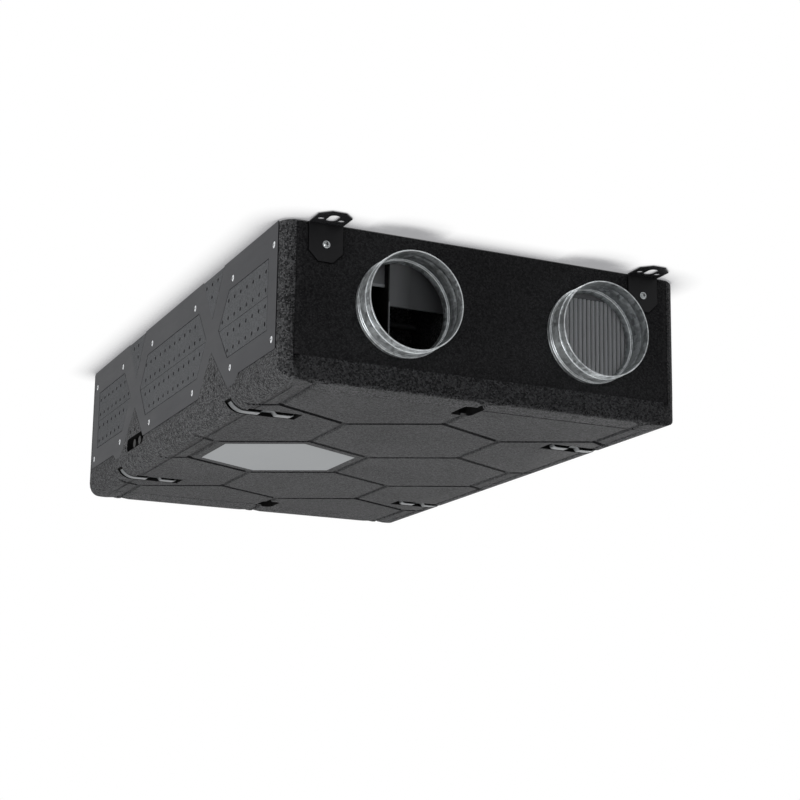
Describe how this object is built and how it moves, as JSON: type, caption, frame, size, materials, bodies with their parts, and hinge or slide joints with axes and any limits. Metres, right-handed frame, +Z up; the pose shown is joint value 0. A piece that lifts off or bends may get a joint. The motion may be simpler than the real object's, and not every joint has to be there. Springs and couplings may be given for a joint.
{
  "type": "ceiling air handling unit",
  "caption": "Flat ceiling-hung ventilation unit: black foam housing with steel side plates, hanger brackets, beaded round duct spigots and a hexagon-patterned service cover.",
  "frame": {"origin": "centre of the bounding box on the plane of the cover's lowest face", "axes": "+Z up, -Y out of the end whose duct spigots the picture shows, +X to the right seen from that end"},
  "size_m": [0.725, 1.238, 0.257],
  "materials": {
    "black_foam": "moulded bead foam, grainy, matt",
    "smooth_foam": "moulded foam with a smooth skin, satin",
    "cover_foam": "moulded bead foam, fine grain, matt",
    "pale_plate": "smooth satin grey",
    "dark_steel": "dark satin powder coat",
    "bracket_steel": "black satin paint",
    "galvanised": "galvanised, bright rolled edges",
    "screw_steel": "zinc plated",
    "strap_steel": "bare spring steel",
    "filter_fibre": "pleated white fibre",
    "housing_grey": "smooth grey plastic",
    "black_plastic": "moulded black plastic"
  },
  "bodies": {
    "root": {"bracket_screw_back_left": "screw_steel", "bracket_screw_back_right": "screw_steel", "bracket_screw_front_left": "screw_steel", "bracket_screw_front_right": "screw_steel", "cable_entry": "black_plastic", "cover_strap_back_left": "strap_steel", "cover_strap_back_right": "strap_steel", "cover_strap_front_left": "strap_steel", "cover_strap_front_right": "strap_steel", "end_panel_back_lower": "smooth_foam", "end_panel_back_upper": "smooth_foam", "end_panel_front_lower": "smooth_foam", "end_panel_front_upper": "smooth_foam", "fan_divider_back": "black_plastic", "fan_divider_front": "black_plastic", "fan_hood_back": "housing_grey", "fan_hood_front": "housing_grey", "filter_pack_back": "filter_fibre", "filter_pack_front": "filter_fibre", "hanger_bracket_back_left": "bracket_steel", "hanger_bracket_back_right": "bracket_steel", "hanger_bracket_front_left": "bracket_steel", "hanger_bracket_front_right": "bracket_steel", "hexagon_plate": "pale_plate", "housing_lower": "black_foam", "housing_upper": "black_foam", "service_cover": "cover_foam", "side_plate_left": "dark_steel", "side_plate_right": "dark_steel", "spigot_back_left": "galvanised", "spigot_back_right": "galvanised", "spigot_front_left": "galvanised", "spigot_front_right": "galvanised"}
  },
  "joints": []
}
